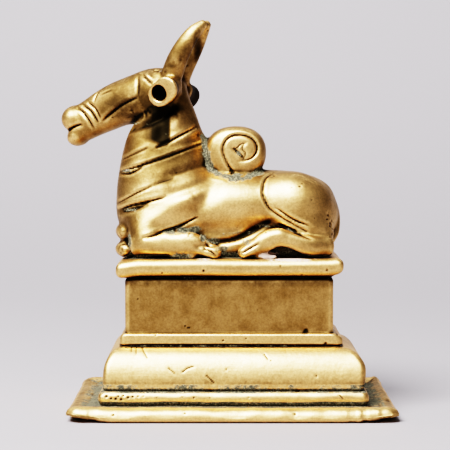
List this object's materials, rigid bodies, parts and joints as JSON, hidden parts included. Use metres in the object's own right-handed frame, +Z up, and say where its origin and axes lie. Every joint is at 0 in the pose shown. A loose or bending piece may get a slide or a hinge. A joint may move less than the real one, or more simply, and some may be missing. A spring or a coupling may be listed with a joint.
{
  "type": "nandi bull figure",
  "caption": "Small cast brass nandi: a humped bull lying with folded legs and raised head, on a stepped rectangular plinth with a moulded foot.",
  "frame": {"origin": "middle of the flat underside of the plinth's foot", "axes": "+Z up, -X the way the bull faces, -Y towards the viewer of its left side"},
  "size_m": [0.0895, 0.0582, 0.1038],
  "materials": {
    "cast_brass": "aged cast brass, rubbed bright on the high places, brown and grey-green in the hollows"
  },
  "bodies": {
    "root": {"nandi_bull_on_plinth": "cast_brass"}
  },
  "joints": []
}
